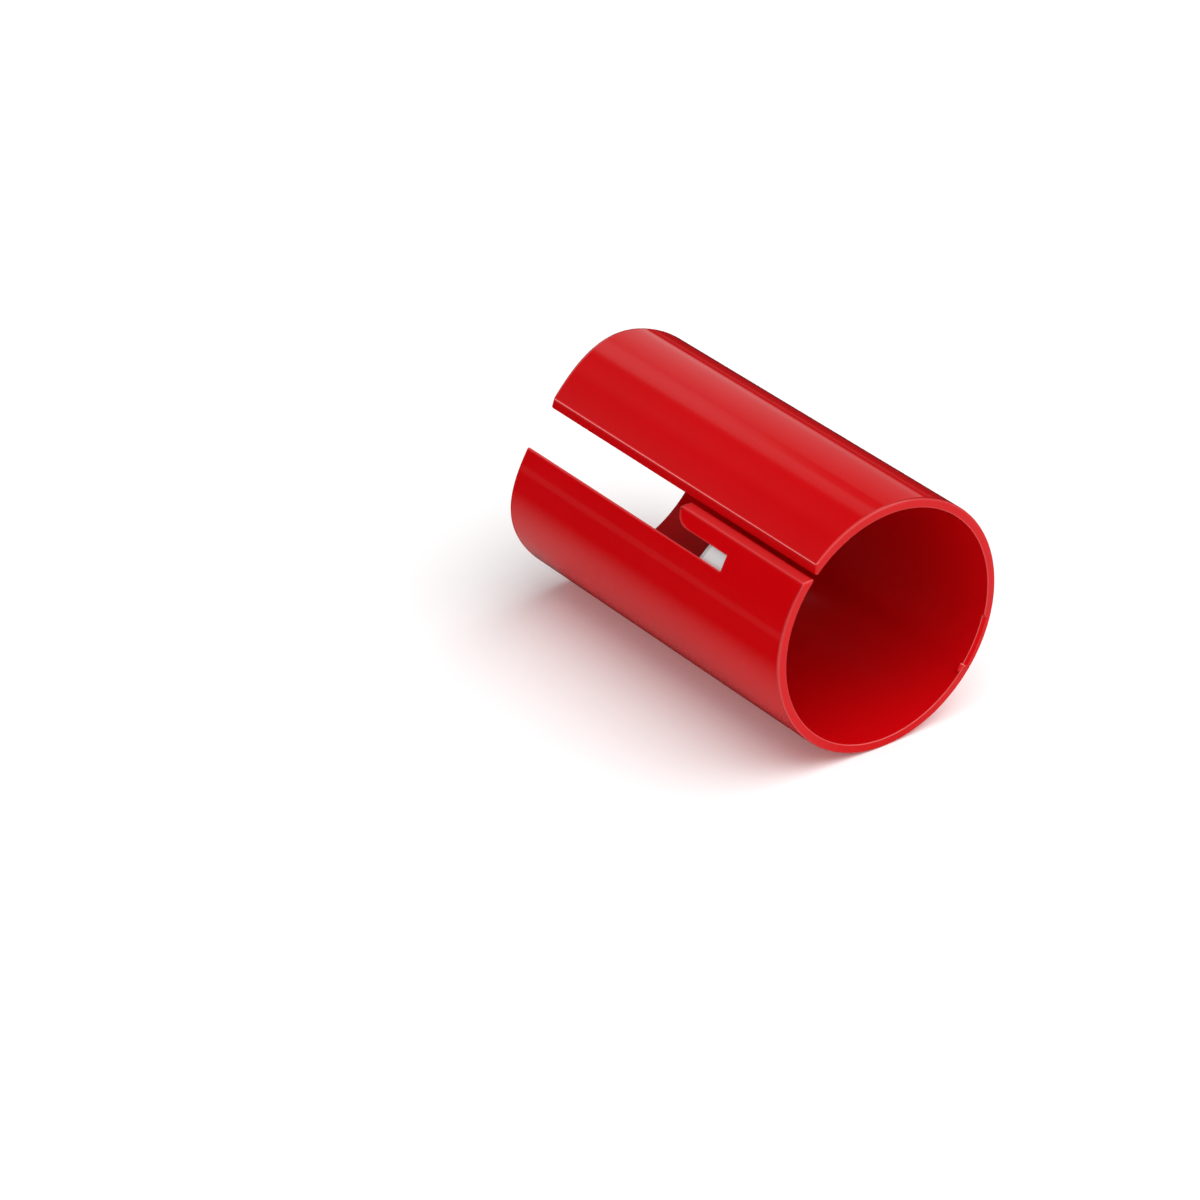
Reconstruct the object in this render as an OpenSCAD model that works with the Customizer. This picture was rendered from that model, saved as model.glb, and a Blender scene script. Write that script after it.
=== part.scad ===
// Hand-held sheet cutter: a slotted tube that slides along a roll, with a small steel
// blade set across a narrow throat in its wall.
// The tube's axis is X. X = 0 is the square end, and the tube runs towards -X.
// Angles round the tube are counted from straight up (+Z) towards -Y.

/* [Tube] */
// Outside diameter of the tube
tube_od = 51; // [48:0.5:64]
// Wall thickness of the tube
wall = 1.8; // [1.7:0.1:2.6]
// Length of the tube along its closed side
tube_length = 85.5; // [70:0.5:110]
// Rounding of the rim edges at both ends
rim_round = 0.4; // [0.1:0.05:0.7]

/* [Slit and window] */
// Angle from straight up to the middle of the slit
slit_angle = 47.2; // [20:0.2:60]
// Width of the slit at the bore
slit_gap = 0.6; // [0.4:0.1:1.4]
// Slope of the slit's two faces away from its middle line
edge_bevel = 45; // [30:1:50]
// Width of the flat that breaks the long edges on the outside
edge_break = 0.25; // [0.1:0.05:0.4]
// Width of the flat that breaks the long edges at the bore
bore_break = 0.12; // [0.08:0.02:0.2]
// Radius of the two slit corners at the square end, seen from above
slit_corner = 0.5; // [0.3:0.1:1]

/* [Tongue and throat] */
// Width of the tongue at the bore
tongue_width = 4.9; // [4:0.1:6]
// Distance of the tongue's nose from the square end
nose_at = 36.9; // [33:0.1:44]
// Share of the tongue's width that the nose's tighter corner takes
nose_share = 0.2; // [0.16:0.01:0.5]
// Width of the throat at the bore
throat_gap = 3.05; // [2.6:0.05:3.6]
// Distance of the throat's closed end from the square end
throat_at = 20.4; // [18:0.1:22]

/* [Lead-in] */
// Radius that rounds the window side of the far end back, seen from the side
lead_radius = 27.5; // [26:0.5:40]
// Height over the axis at which that rounding starts
lead_start = 9; // [6:0.5:12]

/* [Blade] */
// Width of the blade
blade_width = 5.6; // [5.2:0.1:6.4]
// Thickness of the blade
blade_thickness = 0.4; // [0.3:0.05:0.5]
// Distance of the middle of the cutting edge from the square end
blade_edge_at = 26.8; // [25:0.1:29]
// Distance of the blade's back from the square end
blade_back_at = 16.8; // [15:0.1:17.5]
// Lean of the cutting edge away from square across the blade
edge_lean = 20; // [0:1:30]
// Width of the ground bevel behind the cutting edge
grind_width = 0.9; // [0.6:0.05:1.2]
// Thickness of the wall left outside the blade
skin = 0.7; // [0.5:0.05:0.8]

/* [Retainer] */
// Width of the ledge that the retainer seats on, round the blade
ledge = 0.6; // [0.4:0.05:0.9]
// Distance the retainer stays back from the ground bevel
retainer_setback = 1.2; // [0.8:0.1:2]
// Clearance round the blade and the retainer
fit_gap = 0.04; // [0.02:0.01:0.08]
// Depth of the retainer's inner face below the bore wall
retainer_sunk = 0.1; // [0.05:0.01:0.15]

/* [Gate] */
// Angle from straight up to the middle of the trimmed gate
gate_angle = -115.5; // [-150:0.5:-90]
// Angle that the trimmed gate covers
gate_span = 25; // [10:1:40]
// Depth of the trim into the wall at the rim
gate_depth = 0.45; // [0.2:0.05:0.6]
// Length of the trim along the bore
gate_length = 1.3; // [0.6:0.1:2]

/* [Hidden] */
$fn = 96;
round_facets = 180;     // for the tube's own round faces

tube_r = tube_od / 2;
bore_r = tube_r - wall;
overcut = 1;      // how far every cut runs past the solid
reach = 1.3;      // how far the section cuts run past the tube, as a factor
lead_past = 0.1;  // how far the lead-in's radius bulges past the far end

// The section is drawn in a frame turned by slit_angle: first value along the
// tangent towards the lip, second value outwards through the slit's middle.
lip_a = slit_gap / 2;
tongue_top_a = -slit_gap / 2;
tongue_bottom_a = tongue_top_a - tongue_width;
sill_a = tongue_bottom_a - throat_gap;
throat_mid_a = (tongue_bottom_a + sill_a) / 2;

// An edge is [place at the bore, side that the wall is on, slope of its face].
lip_edge = [lip_a, 1, edge_bevel];
tongue_top = [tongue_top_a, -1, edge_bevel];
tongue_bottom = [tongue_bottom_a, 1, 0];
sill_edge = [sill_a, -1, 0];

// Nose of the tongue: one tight and one wide corner that meet on the same line
nose_tight = tongue_width * nose_share;
nose_wide = tongue_width - nose_tight;

// Angle from straight up to a point of the section
function bearing(p) = slit_angle + atan2(-p[0], p[1]);
lip_outer_angle = bearing(outer_corner(lip_edge));
sill_outer_angle = bearing(outer_corner(sill_edge));
window_angle = (lip_outer_angle + sill_outer_angle) / 2;

// The blade lies flat in the wall, square to the middle of the throat
throat_angle = (bearing(outer_corner(tongue_bottom)) + sill_outer_angle) / 2;
blade_top = tube_r - skin;
blade_bottom = blade_top - blade_thickness;
retainer_r = bore_r + retainer_sunk;
edge_run = blade_width * tan(edge_lean) / 2;
retainer_front_at = blade_edge_at - edge_run - grind_width - retainer_setback;

function edge_out(e) = [e[1] * sin(e[2]), cos(e[2])];
function edge_into(e) = [e[1] * cos(e[2]), -sin(e[2])];
function edge_foot(e) = [e[0], sqrt(bore_r * bore_r - e[0] * e[0])];

// Where the edge's face, moved into the wall by h, meets a radius
function along(e, h, radius) =
    let (depth = h + edge_foot(e) * edge_into(e))
        depth * edge_into(e) + sqrt(radius * radius - depth * depth) * edge_out(e);
function outer_corner(e) = along(e, 0, tube_r);

// A point of a round face, shifted along it into the wall
function shifted(e, p, by) =
    let (radius = norm(p), t = atan2(p[0], p[1]) + e[1] * by / radius * 180 / PI)
        radius * [sin(t), cos(t)];

// Points of a slot's void along one edge, from the bore out, with both corners broken
function broken(face_point, round_point) = 2 * round_point - face_point;
function edge_path(e) =
    let (low = edge_foot(e) + bore_break * edge_out(e),
        high = outer_corner(e) - edge_break * edge_out(e),
        out = broken(high, shifted(e, outer_corner(e), edge_break)))
        [broken(low, shifted(e, edge_foot(e), bore_break)), low, high, out, reach * out];
function backwards(points) = [for (i = [len(points) - 1 : -1 : 0]) points[i]];

// Section of a slot between a lower and an upper edge
module slot_section(low, high)
    polygon(concat([[0, 0]], edge_path(high), backwards(edge_path(low))));

// Cut of one section from a distance from the square end to past the far end
module slot_cut(from)
    translate([-tube_length - overcut, 0, 0])
        rotate([90, 0, 90]) linear_extrude(tube_length + overcut - from) children();

// Takes the tongue away beyond its nose, from the slit's middle to the throat's
module tongue_end_cut()
    slot_cut(nose_at)
        polygon([[0, 0], [0, reach * tube_r], reach * [throat_mid_a, tube_r]]);

// What a radius leaves over of a square corner whose point is at the origin
module corner_waste(r, past)
    difference() {
        translate([-past, -past]) square(r + past);
        translate([r, r]) circle(r = r);
    }

// Rounds the corner between an edge's face and an end face. side is 1 where the
// wall runs towards +X from the end face and -1 where it runs towards -X.
module end_round(e, end_x, side, r)
    translate([end_x, e[0], edge_foot(e)[1]]) rotate([-e[1] * e[2], 0, 0])
        linear_extrude(4 * wall, center = true)
            mirror([side < 0 ? 1 : 0, 0]) mirror([0, e[1] < 0 ? 1 : 0])
                corner_waste(r, slit_gap / 4);

// Wall of the tube in section, with rounded rims at both ends
module wall_profile()
    difference() {
        translate([bore_r, -tube_length]) square([wall, tube_length]);
        for (end = [0, 1])
            translate([0, -end * tube_length]) mirror([0, 1 - end]) {
                translate([bore_r, 0]) corner_waste(rim_round, overcut);
                translate([tube_r, 0]) mirror([1, 0]) corner_waste(rim_round, overcut);
            }
    }

// Big radius that carries the far end back towards the window
module lead_in_cut()
    rotate([window_angle, 0, 0])
        difference() {
            translate([-tube_length - overcut, -tube_r - overcut, lead_start])
                cube([lead_radius + overcut, 2 * (tube_r + overcut), tube_r]);
            translate([lead_radius - tube_length - lead_past, 0, lead_start])
                rotate([90, 0, 0])
                    cylinder(r = lead_radius, h = 3 * tube_r, center = true, $fn = round_facets);
        }

// Plan of the blade: a slanted edge facing the far end, grown by a clearance
module blade_plan(gap)
    let (half = blade_width / 2 + gap, run = half * tan(edge_lean))
        polygon([
            [-blade_edge_at - gap + run, half], [-blade_back_at + gap, half],
            [-blade_back_at + gap, -half], [-blade_edge_at - gap - run, -half]
        ]);

module retainer_plan(gap)
    translate([-retainer_front_at - gap, -blade_width / 2 - ledge - gap])
        square([retainer_front_at - blade_back_at + ledge + 2 * gap,
            blade_width + 2 * (ledge + gap)]);

module blade_pocket()
    rotate([throat_angle, 0, 0]) {
        translate([0, 0, bore_r / 2])
            linear_extrude(blade_top + fit_gap / 2 - bore_r / 2) blade_plan(fit_gap);
        translate([0, 0, bore_r / 2])
            linear_extrude(blade_bottom - bore_r / 2) retainer_plan(fit_gap);
    }

// Sliver cut from the bore's edge at the square end where the gate was trimmed
module gate_cut()
    rotate([0, 90, 0]) rotate([0, 0, gate_start]) rotate_extrude(angle = gate_span)
        polygon([[bore_r - overcut, -gate_length], [bore_r, -gate_length],
            [bore_r + gate_depth, 0], [bore_r + gate_depth, overcut], [bore_r - overcut, overcut]]);

// rotate_extrude counts from its own X, which points down here, towards the +Y side
gate_start = 180 + gate_angle - gate_span / 2;

module cutter_tube()
    color("crimson")
        difference() {
            rotate([0, 90, 0]) rotate_extrude($fn = round_facets) wall_profile();
            rotate([slit_angle, 0, 0]) {
                slot_cut(-overcut) slot_section(tongue_top, lip_edge);
                slot_cut(throat_at) slot_section(sill_edge, tongue_bottom);
                tongue_end_cut();
                end_round(tongue_top, -nose_at, 1, nose_tight);
                end_round(tongue_bottom, -nose_at, 1, nose_wide);
                end_round(lip_edge, 0, -1, slit_corner);
                end_round(tongue_top, 0, -1, slit_corner);
            }
            lead_in_cut();
            blade_pocket();
            gate_cut();
        }

// Strip of steel with a double bevel, its edge along the second axis of the plan
module ground_strip()
    let (half = blade_thickness / 2, long = blade_edge_at)
        rotate([90, 0, 0])
            linear_extrude(3 * blade_width, center = true)
                polygon([[0, 0], [grind_width, half], [long, half], [long, -half],
                    [grind_width, -half]]);

module blade()
    color("lightsteelblue")
        rotate([throat_angle, 0, 0])
            intersection() {
                translate([0, 0, blade_bottom]) linear_extrude(blade_thickness) blade_plan(0);
                translate([-blade_edge_at, 0, (blade_top + blade_bottom) / 2])
                    rotate([0, 0, -edge_lean]) ground_strip();
            }

module blade_retainer()
    color("firebrick")
        rotate([throat_angle, 0, 0])
            difference() {
                translate([0, 0, bore_r / 2])
                    linear_extrude(blade_bottom - fit_gap / 2 - bore_r / 2) retainer_plan(0);
                translate([-nose_at, 0, 0]) rotate([0, 90, 0])
                    cylinder(r = retainer_r, h = nose_at, $fn = round_facets);
            }

cutter_tube();
blade();
blade_retainer();
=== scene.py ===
"""Looks of the slotted sheet cutter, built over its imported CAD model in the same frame."""
import math

import bmesh
import bpy
import numpy as np
from mathutils import Matrix, Vector, geometry

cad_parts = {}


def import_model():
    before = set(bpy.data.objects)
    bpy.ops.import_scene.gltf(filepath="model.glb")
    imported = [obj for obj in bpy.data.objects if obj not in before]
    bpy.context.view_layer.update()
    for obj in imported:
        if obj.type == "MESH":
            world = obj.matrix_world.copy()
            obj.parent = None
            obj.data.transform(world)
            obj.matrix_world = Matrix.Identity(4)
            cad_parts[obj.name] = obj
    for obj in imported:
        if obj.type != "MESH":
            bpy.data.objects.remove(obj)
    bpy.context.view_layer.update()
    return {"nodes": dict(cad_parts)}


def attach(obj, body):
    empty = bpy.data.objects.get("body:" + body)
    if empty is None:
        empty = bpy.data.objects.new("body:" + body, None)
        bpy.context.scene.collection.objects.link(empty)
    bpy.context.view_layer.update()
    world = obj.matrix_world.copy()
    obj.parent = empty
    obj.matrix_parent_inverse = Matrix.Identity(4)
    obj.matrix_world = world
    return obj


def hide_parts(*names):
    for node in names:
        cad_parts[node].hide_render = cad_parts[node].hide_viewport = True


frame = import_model()

MM = 0.001

# ---------------------------------------------------------------- sizes, in millimetres
TUBE_R = 25.49
BORE_R = 23.7
WALL = TUBE_R - BORE_R
LENGTH = 85.49
SLIT_AT = 47.2          # degrees from +Z towards -Y
SLIT_CORNER = 0.5
FAR_CORNER = 0.5
THROAT_AT = 20.4        # from the square end, as the nose is
THROAT_CORNER = 0.3
NOSE_AT = 36.9
NOSE_TIGHT = 0.98       # radii of the nose's corners, on the slit's side and on the throat's
NOSE_WIDE = 3.92
LEAD_R = 27.5           # radius that rounds back the far end, and how far from the axis it starts
LEAD_START = 9.0
# Roundings along the outside's edges, and along the bore's
RIM_ROUND = 0.4
TONGUE_ROUND = 0.5
NOSE_ROUND = 0.55
EDGE_ROUND = 0.28
RIM_ROUND_IN = 0.2
BORE_ROUND = 0.12

# An edge is (place across the slit at the bore, side that the wall is on, slope of its face).
LIP = (0.3, 1, 45.0)
TONGUE_TOP = (-0.3, -1, 45.0)
TONGUE_BOTTOM = (-5.2, 1, 0.0)
SILL = (-8.25, -1, 0.0)

# Shallow tray in the bore that the blade's retainer lies in
TRAY = dict(near=-16.16, far=-23.72, half=3.44, floor=0.15, step=0.02)
# Sink mark on the outside, over the blade
SINK = dict(near=-16.8, far=-24.4, half=2.8, depth=0.05, soft=0.35)
# Trimmed gate on the inner edge of the square rim, with its middle in degrees from +Z towards +Y
GATE = dict(middle=115.5, span=25.0, depth=0.75, length=0.45, fade=0.15, rounding=0.05)
# Stub that the trimmed gate left: its angle from +Z towards -Y, its half size along the tube,
# round it and through the wall, the power that squares it, and how lumpy it is
STUB = dict(angle=-129.8, x=-0.43, size=(0.38, 0.86, 0.80), lift=0.05, power=0.55, lump=0.06)
# Flow ridge in the bore behind the stub
FLOW = dict(angle=-128.5, half=1.7, near=1.0, far=7.5, height=0.12)
# The blade's edge: its place, its lean, and the width of the ground strip with its soft border
BLADE = dict(edge_at=26.8, lean=20.0, grind=0.9, soft_before=0.06, soft_after=0.02)

# ---------------------------------------------------------------- how fine the meshes are
FINE, COARSE, NOSE_STEPS = 900, 120, 90     # points of the runs before they are resampled
# Steps of each run of the outline
COUNTS = dict(near_rim=260, tongue_top=34, nose=30, tongue_bottom=14, tongue_step=1, tongue_back=5,
              throat_end=6, sill_back=5, sill_step=1, sill=48, far_rim=260, lip=72)
CORNER_STEPS = 8
OUTER_ARC, INNER_ARC, FACE_ROWS = 7, 5, 3
# Flat rows beside the rounded edge, in millimetres: outside, in the bore, and past the trim's
# painted highlight
FLAT_OUTSIDE, FLAT_INSIDE, PAST_TRIM_HIGHLIGHT = 0.3, 0.25, 0.13
NEAR_END = 0.9          # share of the flat in the bore that keeps the trimmed gate's slope
# Grid of the large faces: steps along in millimetres and round in degrees, where it starts,
# and how far it stays from an outline and from a line
GRID_X, GRID_TURN = 1.7, 1.6
START_X, START_U = 0.9, 0.4
GRID_CLEAR, LINE_CLEAR, LINE_STEP = 0.75, 0.45, 0.6
BLOCK = 2000            # points that are measured at a time
SAME = 1e-6             # places closer than this are one

# ---------------------------------------------------------------- painted highlights and wear
# Share of the pale colour along the outer edge of each run: painted highlight with a little wear,
# and on the lip a painted highlight alone
EDGE_HIGHLIGHT_AND_WEAR = dict(lip=1.0, near_rim=0.13, far_rim=0.16, tongue_top=0.18, nose=0.18, tongue_bottom=0.10,
            throat_end=0.10, sill=0.16)
# The same for the whole face, as painted light that makes it paler
FACE_HIGHLIGHT = dict(tongue_top=0.06, nose=0.04)
# The same along the rim's inner edge and where the trimmed gate runs out on the bore, as painted
# highlights, and on the stub's broken side, paler partly as a painted highlight, as (rise, start,
# most)
INNER_EDGE_HIGHLIGHT = 0.25
TRIM_EDGE_HIGHLIGHT = 0.8
STUB_HIGHLIGHT_AND_WEAR = (3, -0.55, 0.8)


# ---------------------------------------------------------------- the tube's outline
def face_point(edge, into, radius):
    """Where an edge's face, moved into the wall, meets a radius, in the slit's own frame."""
    place, side, slope = edge
    s = math.radians(slope)
    out = np.array([side * math.sin(s), math.cos(s)])
    inwards = np.array([side * math.cos(s), -math.sin(s)])
    foot = np.array([place, math.sqrt(BORE_R**2 - place**2)])
    depth = into + foot @ inwards
    return depth * inwards + math.sqrt(radius**2 - depth**2) * out


def turn(point, past_slit):
    """Angle round the tube, in degrees from +Z, that grows from the lip the long way round."""
    angle = SLIT_AT + math.degrees(math.atan2(-point[0], point[1]))
    return (360.0 if past_slit else 0.0) - angle


def arc_length(degrees):
    return TUBE_R * math.radians(degrees)


def edge_at(edge, radius, into=0.0):
    """Place round the unrolled tube where an edge's face meets a radius."""
    return arc_length(turn(face_point(edge, into, radius), edge is not LIP))


def middle_of(one, two):
    """Angle from +Z towards -Y to the middle between two edges, on the outside."""
    return -sum(turn(face_point(edge, 0, TUBE_R), False) for edge in (one, two)) / 2


WINDOW_AT = middle_of(LIP, SILL)
THROAT_ANGLE = middle_of(TONGUE_BOTTOM, SILL)
THROAT_MIDDLE = arc_length(360.0 - THROAT_ANGLE)
TRAY_HALF = arc_length(math.degrees(math.asin(TRAY["half"] / BORE_R)))


def far_x(u, radius):
    """Far end of the tube, rounded back towards the window."""
    angle = u / TUBE_R + math.radians(WINDOW_AT)
    h = np.maximum(radius * np.cos(angle) - LEAD_START, 0.0)
    return -LENGTH + LEAD_R - np.sqrt(LEAD_R**2 - h**2)


def nose_corner(edge, size, radius, angles):
    """One corner of the tongue's nose, as (place round the tube, distance behind the nose)."""
    return np.array([(edge_at(edge, radius, size * (1 - math.cos(t))), size * (1 - math.sin(t)))
                     for t in angles])


def nose_line(radius):
    """Nose of the tongue from its slit side to its throat side at one radius."""
    tight = nose_corner(TONGUE_TOP, NOSE_TIGHT, radius, np.linspace(0, math.pi / 2, NOSE_STEPS))
    wide = nose_corner(TONGUE_BOTTOM, NOSE_WIDE, radius, np.linspace(math.pi / 2, 0, NOSE_STEPS))
    # u falls from the slit side to the throat side; both corners apply wherever they reach
    us = np.linspace(tight[0, 0], wide[-1, 0], FINE)
    back = np.maximum(
        np.interp(us, tight[::-1, 0], tight[::-1, 1], left=0, right=NOSE_TIGHT),
        np.interp(us, wide[::-1, 0], wide[::-1, 1], left=NOSE_WIDE, right=0),
    )
    return np.column_stack([-NOSE_AT + back, us])


def straight(a, b, n=COARSE):
    t = np.linspace(0, 1, n)[:, None]
    return np.array(a) * (1 - t) + np.array(b) * t


def segments(radius):
    """The outline at one radius as runs of points, each with its corner radius at the start."""
    lip, top = edge_at(LIP, radius), edge_at(TONGUE_TOP, radius)
    bottom, sill = edge_at(TONGUE_BOTTOM, radius), edge_at(SILL, radius)
    nose = nose_line(radius)
    far_u = np.linspace(sill, lip, FINE)
    far = np.column_stack([far_x(far_u, radius), far_u])
    tray_far, tray_step = TRAY["far"], TRAY["far"] + TRAY["step"]
    return [
        ("near_rim", straight((0, lip), (0, top), FINE), SLIT_CORNER),
        ("tongue_top", straight((0, top), nose[0]), SLIT_CORNER),
        ("nose", nose, 0),
        ("tongue_bottom", straight(nose[-1], (tray_far, bottom)), 0),
        ("tongue_step", straight((tray_far, bottom), (tray_step, bottom)), 0),
        ("tongue_back", straight((tray_step, bottom), (-THROAT_AT, bottom)), 0),
        ("throat_end", straight((-THROAT_AT, bottom), (-THROAT_AT, sill)), THROAT_CORNER),
        ("sill_back", straight((-THROAT_AT, sill), (tray_step, sill)), THROAT_CORNER),
        ("sill_step", straight((tray_step, sill), (tray_far, sill)), 0),
        ("sill", straight((tray_far, sill), far[0]), 0),
        ("far_rim", far, FAR_CORNER),
        ("lip", straight(far[-1], (0, lip)), FAR_CORNER),
    ]


def resample(run, skip_start, skip_end, n):
    """The run without its ends, in n equal steps."""
    steps = np.linalg.norm(np.diff(run, axis=0), axis=1)
    at = np.concatenate([[0], np.cumsum(steps)])
    want = np.linspace(skip_start, at[-1] - skip_end, n + 1)
    return np.column_stack([np.interp(want, at, run[:, 0]), np.interp(want, at, run[:, 1])])


def unit(v):
    return v / np.maximum(np.linalg.norm(v, axis=-1, keepdims=True), 1e-12)


def rounded(before, after, size):
    """Points on a round corner, between the end of one run and the start of the next."""
    a, b = before[-1], after[0]
    pull = 0.5523 * size            # makes a Bezier curve a quarter of a circle
    beyond_a = a + pull * unit(before[-1] - before[-2])
    before_b = b + pull * unit(after[0] - after[1])
    return [(1 - t) ** 3 * a + 3 * t * (1 - t) ** 2 * beyond_a
            + 3 * t**2 * (1 - t) * before_b + t**3 * b
            for t in np.linspace(0, 1, CORNER_STEPS + 1)[1:-1]]


def outline(radius):
    """Closed loop of points at one radius, its inward normals, and the run each came from."""
    runs = segments(radius)
    corners = [corner for _, _, corner in runs]
    sampled = [resample(run, corner, corners[(k + 1) % len(runs)], COUNTS[name])
               for k, (name, run, corner) in enumerate(runs)]
    points, names = [], []
    for k, (name, _, corner) in enumerate(runs):
        here = sampled[k]
        if corner > 0:
            curve = rounded(sampled[k - 1], here, corner)
            points += curve
            names += [name + "_corner"] * len(curve)
        else:
            here = here[1:]         # the run before ends on its first point
        points += list(here)
        names += [name] * len(here)
    loop = np.array(points)
    ahead, back = unit(np.roll(loop, -1, 0) - loop), unit(loop - np.roll(loop, 1, 0))
    along = unit(ahead + back)
    return loop, np.column_stack([-along[:, 1], along[:, 0]]), names


# ---------------------------------------------------------------- the tube's surfaces
def ramp(value, low, high):
    return np.clip((value - low) / (high - low), 0, 1)


def tray_share(x, u):
    """1 on the floor of the retainer's tray, 0 on the bore."""
    step = TRAY["step"]
    side = ramp(TRAY_HALF - np.abs(u - THROAT_MIDDLE), 0, step)
    return side * ramp(x - TRAY["far"], 0, step) * ramp(TRAY["near"] - x, 0, step)


def gate_share(u):
    """1 along the trimmed gate, 0 on the rest of the rim."""
    degrees = np.degrees(u / TUBE_R)
    return ramp(GATE["span"] / 2 - np.abs(degrees - GATE["middle"]), 0, GATE["fade"])


def edge_highlight_and_wear(names, gate):
    """How pale each row of points that strips() makes is: painted highlights, with a little wear
    from moulding and handling.
    """
    none = np.zeros(len(names))
    found = np.array([max([v for k, v in EDGE_HIGHLIGHT_AND_WEAR.items() if name.startswith(k)], default=0.0)
                      for name in names])
    arc = np.sin(np.linspace(0, math.pi, OUTER_ARC + 2))[1:-1] ** 3
    face = np.array([FACE_HIGHLIGHT.get(name.split("_corner")[0], 0.0) for name in names])
    rows = [none] + [np.maximum(found * v, face) for v in arc] + [face] * FACE_ROWS
    # Painted highlight lines along the rim's inner edge and along the trimmed gate's edge
    inner = np.array([INNER_EDGE_HIGHLIGHT * name.startswith("near_rim") for name in names])
    rows += [inner * math.sin(math.pi * k / (INNER_ARC - 1)) for k in range(INNER_ARC)]
    return rows + [none, TRIM_EDGE_HIGHLIGHT * gate, none]


def fillet(corner, one, two, radius, steps):
    """Rows of points and normals that round the corner between two ways, and how far it reaches."""
    half = np.arccos(np.clip(np.sum(one * two, 1), -1, 1)) / 2
    reach = radius / np.tan(half)
    centre = corner + unit(one + two) * (radius / np.sin(half))[:, None]
    start = unit(corner + one * reach[:, None] - centre)
    end = unit(corner + two * reach[:, None] - centre)
    sweep = math.pi - 2 * half
    rows = []
    for t in np.linspace(0, 1, steps):
        normal = unit(np.sin((1 - t) * sweep)[:, None] * start + np.sin(t * sweep)[:, None] * end)
        rows.append((centre + normal * radius[:, None], normal))
    return rows, reach


def strips(outer, outer_in, inner, inner_in, names):
    """Rows of points and normals from the outside, over the edge and on to the bore."""
    n = len(outer)

    def share(*starts):
        """1 on the runs with these names, softened over two points on both sides."""
        on = np.array([name.startswith(starts) for name in names], float)
        return sum(w / 9 * np.roll(on, k) for w, k in zip((1, 2, 3, 2, 1), (-2, -1, 0, 1, 2)))

    def deepened(points, depth):
        return np.column_stack([points, np.zeros(n) + depth])

    rim = share("near_rim", "far_rim")
    round_out = (EDGE_ROUND + (RIM_ROUND - EDGE_ROUND) * rim
                 + (NOSE_ROUND - EDGE_ROUND) * share("nose")
                 + (TONGUE_ROUND - EDGE_ROUND) * share("tongue_top"))
    near = np.array([name == "near_rim" for name in names], float)
    gate = gate_share(inner[:, 1]) * near
    trimmed, whole = gate[:, None], (1 - gate)[:, None]
    round_in = BORE_ROUND + (RIM_ROUND_IN - BORE_ROUND) * rim
    round_in = round_in * (1 - gate) + GATE["rounding"] * gate
    wall = WALL - TRAY["floor"] * tray_share(inner[:, 0], inner[:, 1])

    top = deepened(outer, 0)
    low = deepened(inner, wall - GATE["depth"] * gate)
    down = unit(low - top)
    out_dir = deepened(outer_in, 0)
    slope = unit(np.array([-GATE["length"], 0, GATE["depth"]]))
    in_dir = unit(deepened(inner_in, 0) * whole + slope * trimmed)
    outwards = np.tile([0.0, 0.0, -1.0], (n, 1))

    outer_rows, reach = fillet(top, out_dir, down, round_out, OUTER_ARC)
    first = top + out_dir * (reach + FLAT_OUTSIDE)[:, None]
    rows = [(first, outwards)] + outer_rows
    inner_rows, reach = fillet(low, -down, in_dir, round_in, INNER_ARC)
    a, b = outer_rows[-1], inner_rows[0]
    for t in np.linspace(0, 1, FACE_ROWS + 2)[1:-1]:
        rows.append((a[0] * (1 - t) + b[0] * t, unit(a[1] * (1 - t) + b[1] * t)))
    rows += inner_rows
    trim_end = np.column_stack([np.full(n, -GATE["length"]), inner[:, 1], wall])
    final = (low + in_dir * (reach + FLAT_INSIDE)[:, None]) * whole + trim_end * trimmed
    point, normal = inner_rows[-1]
    rows.append((point * (1 - NEAR_END) + final * NEAR_END,
                 unit(-outwards * whole + normal * trimmed)))
    rows.append((final, -outwards))
    rows.append((final + deepened(inner_in, 0) * PAST_TRIM_HIGHLIGHT, -outwards))
    return rows, gate


def inside(points, loop):
    """Even-odd test of many points against a closed loop."""
    x, y = points[:, 0], points[:, 1]
    hit = np.zeros(len(points), bool)
    for (ax, ay), (bx, by) in zip(loop, np.roll(loop, -1, 0)):
        if ay != by:
            over = (ay > y) != (by > y)
            hit ^= over & (x < (bx - ax) * (y - ay) / (by - ay) + ax)
    return hit


def clear_of(points, loop, gap):
    """Whether each point is further than a gap from the points of a loop."""
    keep = np.ones(len(points), bool)
    for k in range(0, len(points), BLOCK):
        d = points[k:k + BLOCK, None, :] - loop[None, :, :]
        keep[k:k + BLOCK] = (d**2).sum(-1).min(1) > gap**2
    return keep


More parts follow.
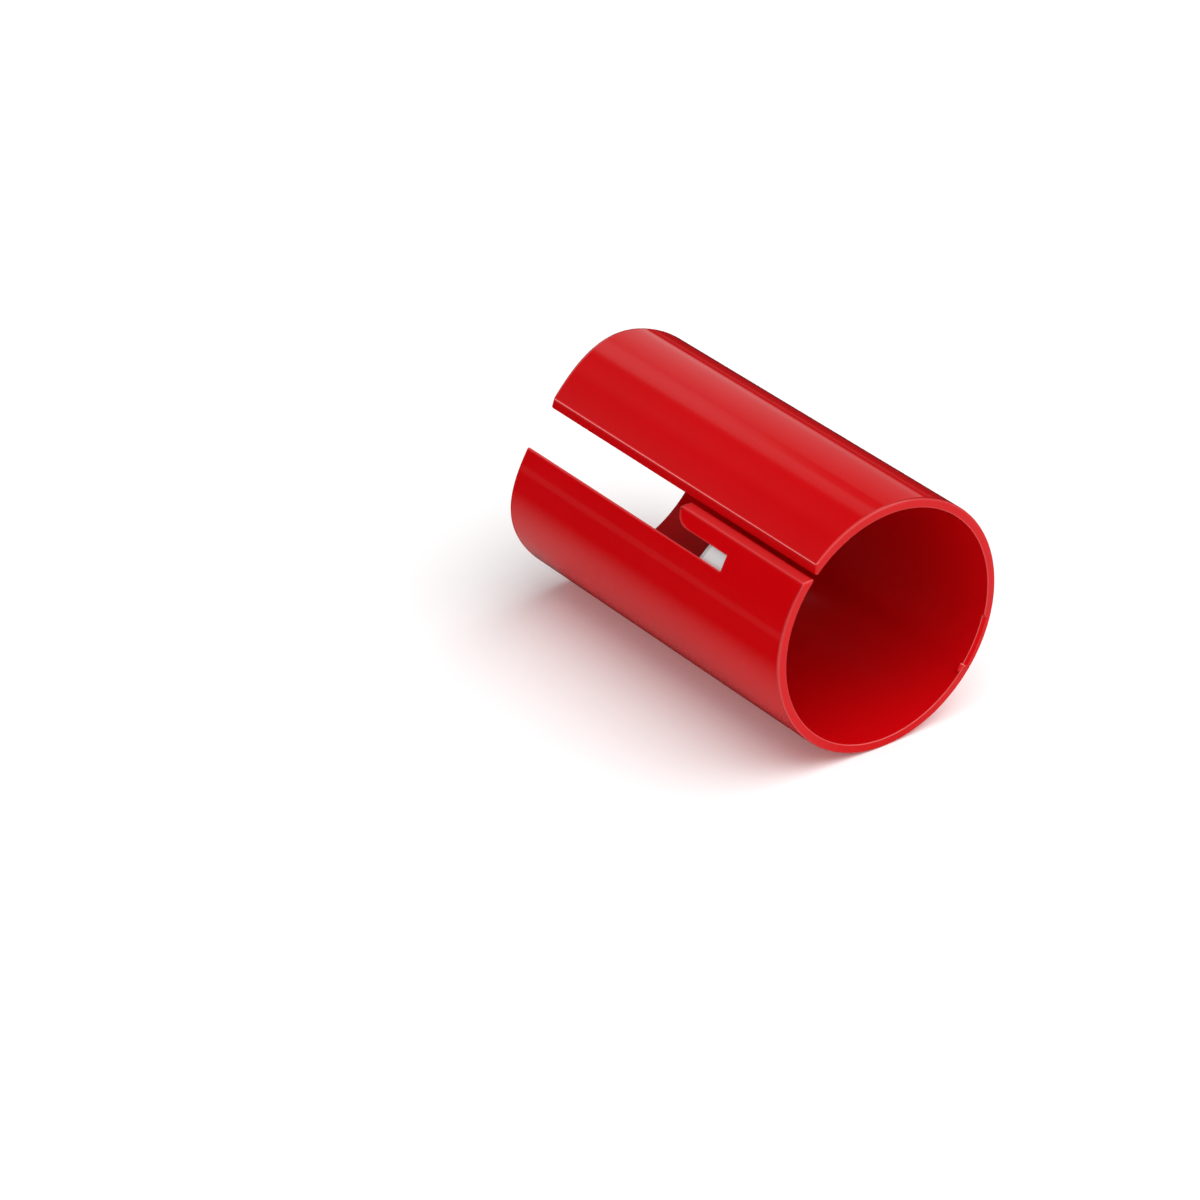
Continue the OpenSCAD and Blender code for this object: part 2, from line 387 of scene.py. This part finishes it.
def sheet(loop, extra_lines=()):
    """Triangles over the area inside a loop: (extra points, triangles). Loop points come first.

    An extra line is a chain of loop indices and new points that the triangles follow.
    """
    xs = np.arange(-LENGTH + START_X, 0, GRID_X)
    us = np.arange(loop[:, 1].min() + START_U, loop[:, 1].max(), arc_length(GRID_TURN))
    grid = np.array([(x + (GRID_X / 2 if j % 2 else 0), u) for j, u in enumerate(us) for x in xs])
    grid = grid[inside(grid, loop)]
    grid = grid[clear_of(grid, loop, GRID_CLEAR)]
    points, edges = list(map(tuple, loop)), []
    n = len(loop)
    for line in extra_lines:
        new = np.array([p for p in line if not isinstance(p, int)])
        grid = grid[clear_of(grid, new, LINE_CLEAR)]
        chain = []
        for p in line:
            if isinstance(p, int):
                chain.append(p)
            else:
                points.append(tuple(p))
                chain.append(len(points) - 1)
        edges += list(zip(chain[:-1], chain[1:]))
    points += list(map(tuple, grid))
    verts, _, faces, origin, _, _ = geometry.delaunay_2d_cdt(
        [Vector(p) for p in points], edges, [list(range(n))], 1, 1e-5)
    back, extra = [], []
    for k, ids in enumerate(origin):
        if ids:
            back.append(min(ids))
        else:
            extra.append(tuple(verts[k]))
            back.append(len(points) + len(extra) - 1)
    return np.array(points[n:] + extra).reshape(-1, 2), [tuple(back[i] for i in f) for f in faces]


def tray_lines(loop, names):
    """The two outlines of the tray's step as chains of loop indices and new points."""
    chains = []
    for inset in (0.0, TRAY["step"]):
        x_far, x_near = TRAY["far"] + inset, TRAY["near"] - inset
        high, low = THROAT_MIDDLE + TRAY_HALF - inset, THROAT_MIDDLE - TRAY_HALF + inset
        start, end = (next(k for k, name in enumerate(names)
                           if name.startswith(run) and abs(loop[k, 0] - x_far) < SAME)
                      for run in ("tongue", "sill"))
        corners = [loop[start], (x_far, high), (x_near, high), (x_near, low), (x_far, low),
                   loop[end]]
        chain = [start]
        for a, b in zip(corners[:-1], corners[1:]):
            n = max(int(np.linalg.norm(np.array(b) - np.array(a)) / LINE_STEP), 2)
            chain += [tuple(p) for p in straight(a, b, n + 1)[1:]]
        chain[-1] = end
        chains.append(chain)
    return chains


def to_space(flat, normals):
    """From unrolled (along, round, depth) in millimetres to the shared frame, in metres."""
    angle = -flat[:, 1] / TUBE_R
    radial = np.column_stack([np.zeros(len(flat)), -np.sin(angle), np.cos(angle)])
    round_way = np.column_stack([np.zeros(len(flat)), np.cos(angle), np.sin(angle)])
    points = radial * (TUBE_R - flat[:, 2])[:, None]
    points[:, 0] = flat[:, 0]
    along = np.array([1.0, 0, 0])
    turned = normals[:, :1] * along + normals[:, 1:2] * round_way - normals[:, 2:] * radial
    return points * MM, unit(turned)


def finished(mesh, highlight_and_wear):
    """The mesh with smooth shading, and its painted highlights and worn places."""
    mesh.polygons.foreach_set("use_smooth", [True] * len(mesh.polygons))
    mesh.attributes.new("highlight_and_wear", "FLOAT", "POINT").data.foreach_set("value", highlight_and_wear)
    return mesh


def tube_mesh():
    """The tube's skin: strips over its edge, and a sheet of triangles outside and in the bore."""
    outer, outer_in, names = outline(TUBE_R)
    inner, inner_in, _ = outline(BORE_R)
    rows, gate = strips(outer, outer_in, inner, inner_in, names)
    n = len(outer)
    flat, normals = [p for p, _ in rows], [v for _, v in rows]
    faces = [(r * n + k, (r + 1) * n + k, (r + 1) * n + (k + 1) % n, r * n + (k + 1) % n)
             for r in range(len(rows) - 1) for k in range(n)]
    total = n * len(rows)

    extra, triangles = sheet(rows[0][0][:, :2])
    flat.append(np.column_stack([extra, np.zeros(len(extra))]))
    normals.append(np.tile([0.0, 0.0, -1.0], (len(extra), 1)))
    faces += [tuple(i if i < n else total + i - n for i in f) for f in triangles]
    total += len(extra)

    last = rows[-1][0][:, :2]
    extra, triangles = sheet(last, tray_lines(last, names))
    depth = WALL - TRAY["floor"] * tray_share(extra[:, 0], extra[:, 1])
    flat.append(np.column_stack([extra, depth]))
    normals.append(np.tile([0.0, 0.0, 1.0], (len(extra), 1)))
    base = (len(rows) - 1) * n
    faces += [tuple(base + i if i < n else total + i - n for i in f)[::-1] for f in triangles]

    points, vectors = to_space(np.vstack(flat), np.vstack(normals))
    mesh = bpy.data.meshes.new("cutter_tube_skin")
    mesh.from_pydata(points.tolist(), [], faces)
    mesh.validate()
    highlight_and_wear = np.zeros(len(points))
    highlight_and_wear[:n * len(rows)] = np.concatenate(edge_highlight_and_wear(names, gate))
    finished(mesh, highlight_and_wear)
    mesh.update()
    mesh.normals_split_custom_set_from_vertices(vectors.tolist())
    return mesh


def stub_mesh():
    """Rounded stub of plastic, paler on its broken side, partly as a painted highlight."""
    bm = bmesh.new()
    bmesh.ops.create_icosphere(bm, subdivisions=4, radius=1)
    angle = math.radians(STUB["angle"])
    radial = Vector((0, -math.sin(angle), math.cos(angle)))
    round_way = Vector((0, math.cos(angle), math.sin(angle)))
    centre = radial * (BORE_R + STUB["lift"]) + Vector((STUB["x"], 0, 0))
    rise, start, most = STUB_HIGHLIGHT_AND_WEAR
    highlight_and_wear = []
    for v in bm.verts:
        way = v.co.copy()
        boxy = [math.copysign(abs(c) ** STUB["power"], c) for c in way]
        lump = 1 + STUB["lump"] * math.sin(5 * way.x + 3 * way.y) * math.sin(4 * way.z + 1)
        along, across, deep = (c * size * lump for c, size in zip(boxy, STUB["size"]))
        v.co = (centre + Vector((along, 0, 0)) + round_way * across + radial * deep) * MM
        # One side of the stub is paler: a broken edge, with a painted highlight
        highlight_and_wear.append(float(np.clip(rise * (start - way.y), 0, most)))
    mesh = bpy.data.meshes.new("gate_stub")
    bm.to_mesh(mesh)
    bm.free()
    return finished(mesh, highlight_and_wear)


def add(name, data):
    obj = bpy.data.objects.new(name, data)
    bpy.context.scene.collection.objects.link(obj)
    return obj


tube = add("cutter_tube_skin", tube_mesh())
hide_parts("cutter_tube")
stub = add("gate_stub", stub_mesh())
for piece in (tube, stub):
    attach(piece, "root")


# ---------------------------------------------------------------- shader nodes
def put(tree, kind, inputs=(), **settings):
    """A new shader node with its settings and inputs."""
    node = tree.nodes.new("ShaderNode" + kind)
    for name, value in settings.items():
        setattr(node, name, value)
    feed(tree, node, inputs)
    return node


def feed(tree, node, inputs):
    """Gives each named input a plain value, or the socket that feeds it."""
    for key, value in dict(inputs).items():
        if isinstance(value, bpy.types.NodeSocket):
            tree.links.new(value, node.inputs[key])
        else:
            node.inputs[key].default_value = value


def calc(tree, what, *values):
    return put(tree, "Math", enumerate(values), operation=what).outputs[0]


def smooth(tree, value, low, high, start=0.0, end=1.0, way="SMOOTHSTEP"):
    """Start where the value is low or less, end where it is high or more."""
    ends = {"From Min": low, "From Max": high, "To Min": start, "To Max": end}
    return put(tree, "MapRange", {"Value": value, **ends}, interpolation_type=way).outputs[0]


def spread(tree, value, start, end):
    """A noise from 0 to 1 as a plain range of values."""
    return smooth(tree, value, 0.0, 1.0, start, end, "LINEAR")


def weigh(tree, share, one, other):
    """The first value where the share is 1, and the other where it is 0."""
    return calc(tree, "ADD", calc(tree, "MULTIPLY", share, one),
                calc(tree, "MULTIPLY", calc(tree, "SUBTRACT", 1.0, share), other))


def stops(tree, value, points):
    """A curve through (place, level) points, with places from 0 to 1."""
    node = put(tree, "ValToRGB", {0: value})
    bar = node.color_ramp.elements
    while len(bar) < len(points):
        bar.new(0.5)
    for element, (place, level) in zip(bar, points):
        element.position = place
        element.color = (level, level, level, 1)
    return node.outputs[0]


def noise(tree, where, scale, detail):
    return put(tree, "TexNoise", {"Vector": where, "Scale": scale, "Detail": detail}).outputs["Fac"]


def mixed(tree, share, low, high):
    """A colour between two ends, each of them three numbers or a socket."""
    low, high = ((*end, 1) if isinstance(end, tuple) else end for end in (low, high))
    return put(tree, "Mix", {0: share, 6: low, 7: high}, data_type="RGBA").outputs[2]


def bumped(tree, height, distance, strength=1.0, **under):
    """A bump in the surface. Normal names the one that it lies on."""
    inputs = {"Height": height, "Distance": distance, "Strength": strength, **under}
    return put(tree, "Bump", inputs).outputs[0]


def place_on(tree):
    return put(tree, "TexCoord").outputs["Object"]


def xyz(tree, where):
    return put(tree, "SeparateXYZ", {0: where}).outputs


def new_material(name):
    """An empty material with its tree and its shader."""
    mat = bpy.data.materials.new(name)
    mat.use_nodes = True
    tree = mat.node_tree
    tree.nodes.clear()
    shader = put(tree, "BsdfPrincipled")
    put(tree, "OutputMaterial", {0: shader.outputs[0]})
    return mat, tree, shader


# ---------------------------------------------------------------- materials
# Two tones of the moulding, its paler colour for painted highlights and wear, and its noises as
# (scale, detail)
RED = ((0.56, 0.0012, 0.0030), (0.62, 0.0020, 0.0045))
HIGHLIGHT_AND_WORN = (0.95, 0.30, 0.30)
RED_TONE = (55, 3)
RED_HAZE = (160, 4)
RED_RIPPLE = (110, 1)
HAZE_SPREAD = 0.02
RIPPLE_HEIGHT, RIPPLE_STRENGTH = 0.2, 0.03
# Radii between which the bore's finish gives way to the outside's, and the roughness of both
FINISH_FROM, FINISH_TO = 23.8, 24.1
TUBE_ROUGH = (0.06, 0.14)
RETAINER_ROUGH = (0.25, 0.42)
PLASTIC_IOR = 1.5
# Steel as rolled and as ground: how its lines are drawn out, and their two tones; the ground
# strip's darker tones are painted shade along the edge
ROLLED = ((90, 1300, 90), (0.84, 0.82, 0.82), (0.95, 0.93, 0.93))
GROUND_SHADED = ((1600, 90, 90), (0.62, 0.60, 0.60), (0.78, 0.76, 0.76))
STEEL_LINES = (6, 5)
STEEL_METALLIC = 0.2
STEEL_ROUGH = (0.26, 0.44)
SCRATCH_HEIGHT, SCRATCH_STRENGTH = 0.01, 0.25
# Edges of the CAD nodes: how close their points are when they are welded, and the bevel's width
WELD_GAP, SOFT_EDGE = 0.001, 0.02


def distance_from_axis(tree, where):
    _, y, z = xyz(tree, where)
    return calc(tree, "SQRT", calc(tree, "ADD", calc(tree, "MULTIPLY", y, y),
                                   calc(tree, "MULTIPLY", z, z)))


def aside_from(tree, y, z, angle, radius):
    """Distance round the tube to either side of an angle."""
    turned = calc(tree, "ARCTAN2", calc(tree, "MULTIPLY", y, -1.0), z)
    apart = calc(tree, "SUBTRACT", turned, math.radians(angle))
    return calc(tree, "ABSOLUTE", calc(tree, "MULTIPLY", apart, radius * MM))


def over_blade(tree, where):
    """0 over the blade's footprint and 1 round it: the thin wall there has sunk a little."""
    x, y, z = xyz(tree, where)
    aside = calc(tree, "SUBTRACT", aside_from(tree, y, z, THROAT_ANGLE, TUBE_R), SINK["half"] * MM)
    away = calc(tree, "MAXIMUM", aside, calc(tree, "SUBTRACT", x, SINK["near"] * MM))
    away = calc(tree, "MAXIMUM", away, calc(tree, "SUBTRACT", SINK["far"] * MM, x))
    return smooth(tree, away, -SINK["soft"] * MM, SINK["soft"] * MM)


def flow_ridge(tree, where):
    """1 on a soft ridge that runs along the bore from the gate's stub, 0 elsewhere."""
    x, y, z = xyz(tree, where)
    aside = aside_from(tree, y, z, FLOW["angle"], BORE_R)
    back = calc(tree, "MULTIPLY", x, -1.0)
    return calc(tree, "MULTIPLY", smooth(tree, aside, 0.0, FLOW["half"] * MM, 1.0, 0.0),
                smooth(tree, back, FLOW["near"] * MM, FLOW["far"] * MM, 1.0, 0.0))


def red_plastic(name, rough, rough_inside):
    """Glossy moulded red, with a slight drift of colour, haze and ripple, and paler places that are
    painted highlights, with a little wear.
    """
    mat, tree, shader = new_material(name)
    where = place_on(tree)
    highlight_and_wear = put(tree, "Attribute", attribute_name="highlight_and_wear").outputs["Fac"]
    colour = mixed(tree, noise(tree, where, *RED_TONE), *RED)
    finish = smooth(tree, distance_from_axis(tree, where), FINISH_FROM * MM, FINISH_TO * MM,
                    rough_inside, rough)
    haze = spread(tree, noise(tree, where, *RED_HAZE), -HAZE_SPREAD, HAZE_SPREAD)
    ripple = bumped(tree, noise(tree, where, *RED_RIPPLE), RIPPLE_HEIGHT * MM, RIPPLE_STRENGTH)
    sink = bumped(tree, over_blade(tree, where), SINK["depth"] * MM, Normal=ripple)
    flow = bumped(tree, flow_ridge(tree, where), FLOW["height"] * MM, Normal=sink)
    # Paler where the mesh carries painted highlights and a little wear
    feed(tree, shader, {"Base Color": mixed(tree, highlight_and_wear, colour, HIGHLIGHT_AND_WORN),
                        "Roughness": calc(tree, "ADD", finish, haze),
                        "Normal": flow, "IOR": PLASTIC_IOR})
    return mat


def ground_steel():
    """Bright strip steel with rolling lines, and a duller ground bevel along the edge, darkened
    with painted shade.
    """
    mat, tree, shader = new_material("blade_steel")
    level = put(tree, "Mapping", {"Vector": place_on(tree),
                                  "Rotation": (-math.radians(THROAT_ANGLE), 0, 0)}).outputs[0]
    x, y, _ = xyz(tree, level)
    lean = math.radians(BLADE["lean"])
    behind = calc(tree, "ADD", x, BLADE["edge_at"] * MM)
    behind = calc(tree, "SUBTRACT", calc(tree, "MULTIPLY", behind, math.cos(lean)),
                  calc(tree, "MULTIPLY", y, math.sin(lean)))
    body = smooth(tree, behind, (BLADE["grind"] - BLADE["soft_before"]) * MM,
                  (BLADE["grind"] + BLADE["soft_after"]) * MM)

    def brushed(stretch, low, high):
        where = put(tree, "Mapping", {"Vector": level, "Rotation": (0, 0, lean), "Scale": stretch})
        lines = noise(tree, where.outputs[0], *STEEL_LINES)
        return lines, mixed(tree, lines, low, high)

    rolled, rolled_tone = brushed(*ROLLED)
    ground, ground_shaded_tone = brushed(*GROUND_SHADED)
    # The ground strip's darker tone is painted shade
    feed(tree, shader, {"Base Color": mixed(tree, body, ground_shaded_tone, rolled_tone),
                        "Roughness": spread(tree, rolled, *STEEL_ROUGH),
                        "Normal": bumped(tree, ground, SCRATCH_HEIGHT * MM, SCRATCH_STRENGTH),
                        "Metallic": STEEL_METALLIC})
    return mat


def dress(obj, mat):
    obj.data.materials.clear()
    obj.data.materials.append(mat)


plastic = red_plastic("tube_red", *TUBE_ROUGH)
dress(tube, plastic)
dress(stub, plastic)
dress(frame["nodes"]["blade"], ground_steel())
dress(frame["nodes"]["blade_retainer"], red_plastic("retainer_red", *RETAINER_ROUGH))
for piece in ("blade", "blade_retainer"):
    # Welded first, because the bevel leaves open edges as they are
    weld = frame["nodes"][piece].modifiers.new("weld", "WELD")
    weld.merge_threshold = WELD_GAP * MM
    soften = frame["nodes"][piece].modifiers.new("soft_edges", "BEVEL")
    soften.width = SOFT_EDGE * MM
    soften.segments = 2
    soften.limit_method = "ANGLE"


# ---------------------------------------------------------------- camera, floor and light
CAMERA_AT = (0.6092, -0.5135, 0.4601)
CAMERA_WAY = (-0.6994, 0.5144, -0.4962)
CAMERA_LENS, CAMERA_SENSOR = 150.8, 36.0
CAMERA_CLIP = (0.05, 20)

FLOOR_Z, FLOOR_HALF = -0.0255, 6
FLOOR_WHITE = 0.95
# What gloss sees of the floor: its level, steps across Y as (from, to, level before, level after),
# a stripe as (from, to, level), and the front as (from, to) along X with its level
FLOOR_LEVEL = 0.40
FLOOR_STEPS = [(-0.062, -0.026, 0.02, 1.0), (-0.021, -0.010, 1.0, 0.4), (0.03, 0.055, 1.0, 0.10),
               (0.3, 0.6, 1.0, 5.0)]
FLOOR_STRIPE = (-0.165, -0.125, 0.09)
STRIPE_RISE, STRIPE_FALL = 0.02, 0.015
FLOOR_FRONT = (-0.004, 0.012)
FLOOR_FRONT_LEVEL = 0.42
# Glow that the camera sees, which grows with the distance, and the glow that lights from below
GLOW_SEEN = 0.08
GLOW_GROWS = (0.15, 0.6)
GLOW_BELOW = 0.36

# Where the world's front begins along X, its level for light and in gloss, and how it changes
# across Y and along X
FRONT_FROM = (-0.5, -0.25)
FRONT_LEVEL = 0.95
FRONT_GLOSS = 0.6
FRONT_ASIDE = (-1.0, 1.0, 0.70, 1.28)
FRONT_END = (0.3, 0.95, 1.0, 0.15)
# Panel behind the object: level by angle over pi, brighter towards the far end, with a dark
# bar that only the near end reflects
BACK_BAND = [(0.0, 0.0), (0.012, 0.02), (0.024, 0.30), (0.032, 0.50), (0.044, 0.50), (0.08, 0.38),
             (0.16, 0.34), (0.22, 0.285), (0.267, 0.24), (0.295, 0.36), (0.335, 0.40),
             (0.368, 0.33), (0.378, 0.20), (0.39, 0.09), (0.41, 0.06), (0.50, 0.11), (0.56, 0.06),
             (0.64, 0.10), (0.69, 0.14), (0.72, 0.0)]
BACK_SLOPE = (-0.72, -0.665, 1.32, 0.76)
DIP_FROM = (0.245, 0.268)
DIP_TO = (0.322, 0.300)
DIP_ALONG = (-0.70, -0.678, 0.0, 0.66)

# Lamp: the way and the distance to it from the tube's middle, its size along and across the
# tube, and its watts
KEY_WAY = (0.45, 0.04, 0.87)
KEY_DISTANCE = 1.1
KEY_SIZE = (1.1, 1.4)
KEY_WATTS = 10.3
TUBE_MIDDLE = (-0.042, 0, 0)


def camera():
    data = bpy.data.cameras.new("camera")
    data.lens, data.sensor_width = CAMERA_LENS, CAMERA_SENSOR
    data.clip_start, data.clip_end = CAMERA_CLIP
    obj = add("camera", data)
    look = Vector(CAMERA_WAY).normalized()
    right = look.cross(Vector((0, 0, 1))).normalized()
    up = right.cross(look)
    turned = Matrix((right, up, -look)).transposed().to_4x4()
    turned.translation = Vector(CAMERA_AT)
    obj.matrix_world = turned
    bpy.context.scene.camera = obj


def floor():
    """White to the camera, and graded from dark to pale in what the plastic reflects."""
    mesh = bpy.data.meshes.new("floor")
    ways = ((-1, -1), (1, -1), (1, 1), (-1, 1))
    mesh.from_pydata([(FLOOR_HALF * x, FLOOR_HALF * y, FLOOR_Z) for x, y in ways], [],
                     [(0, 1, 2, 3)])
    obj = add("floor", mesh)
    mat, tree, shader = new_material("floor_white")
    position = put(tree, "NewGeometry").outputs["Position"]
    x, y, _ = xyz(tree, position)
    seen = FLOOR_LEVEL
    for step in FLOOR_STEPS:
        seen = calc(tree, "MULTIPLY", smooth(tree, y, *step), seen)
    low, high, level = FLOOR_STRIPE
    stripe = calc(tree, "MULTIPLY", smooth(tree, y, low - STRIPE_RISE, low),
                  smooth(tree, y, high, high + STRIPE_FALL, level, 0.0))
    seen = calc(tree, "ADD", seen, stripe)
    seen = weigh(tree, smooth(tree, x, *FLOOR_FRONT), FLOOR_FRONT_LEVEL, seen)
    ray = put(tree, "LightPath").outputs
    away = put(tree, "VectorMath", {0: position}, operation="LENGTH").outputs["Value"]
    white = smooth(tree, away, *GLOW_GROWS, GLOW_SEEN, 1.0)
    glow = calc(tree, "ADD", calc(tree, "MULTIPLY", ray["Is Camera Ray"], white),
                calc(tree, "MULTIPLY", ray["Is Diffuse Ray"], GLOW_BELOW))
    feed(tree, shader, {"Base Color": weigh(tree, ray["Is Glossy Ray"], seen, FLOOR_WHITE),
                        "Emission Color": (1, 1, 1, 1), "Emission Strength": glow,
                        "Roughness": 1.0, "Specular IOR Level": 0.0})
    dress(obj, mat)


def world():
    """Bright in front, with a soft band behind the object, and white where the camera sees it."""
    made = bpy.data.worlds.new("world")
    bpy.context.scene.world = made
    made.use_nodes = True
    tree = made.node_tree
    x, y, z = xyz(tree, put(tree, "TexCoord").outputs["Generated"])
    ray = put(tree, "LightPath").outputs
    turned = calc(tree, "DIVIDE", calc(tree, "ARCTAN2", z, y), math.pi)
    back = stops(tree, calc(tree, "MAXIMUM", turned, 0.0), BACK_BAND)
    back = calc(tree, "MULTIPLY", back, smooth(tree, x, *BACK_SLOPE))
    dip = calc(tree, "MULTIPLY", smooth(tree, turned, *DIP_FROM), smooth(tree, turned, *DIP_TO))
    dip = calc(tree, "MULTIPLY", dip, smooth(tree, x, *DIP_ALONG))
    back = calc(tree, "MULTIPLY", back, calc(tree, "SUBTRACT", 1.0, dip))
    front = calc(tree, "MULTIPLY", smooth(tree, y, *FRONT_ASIDE), smooth(tree, x, *FRONT_END))
    front = calc(tree, "MULTIPLY", front,
                 smooth(tree, ray["Is Glossy Ray"], 0.0, 1.0, FRONT_LEVEL, FRONT_GLOSS))
    level = weigh(tree, smooth(tree, x, *FRONT_FROM), front, back)
    feed(tree, tree.nodes["Background"], {
        "Color": (1, 1, 1, 1),
        "Strength": calc(tree, "MAXIMUM", level, ray["Is Camera Ray"])})


def key_light():
    """One large soft lamp above the square end, wider across the tube than along it."""
    data = bpy.data.lights.new("key", "AREA")
    data.energy = KEY_WATTS
    data.shape = "RECTANGLE"
    data.size, data.size_y = KEY_SIZE
    obj = add("key", data)
    way = Vector(KEY_WAY).normalized()
    obj.location = Vector(TUBE_MIDDLE) + way * KEY_DISTANCE
    across = way.cross(Vector((1, 0, 0))).normalized()
    along = across.cross(way)
    turned = Matrix((along, across, along.cross(across))).transposed()
    obj.rotation_mode = "QUATERNION"
    obj.rotation_quaternion = turned.to_quaternion()


camera()
floor()
world()
key_light()
bpy.context.scene.view_settings.view_transform = "Standard"
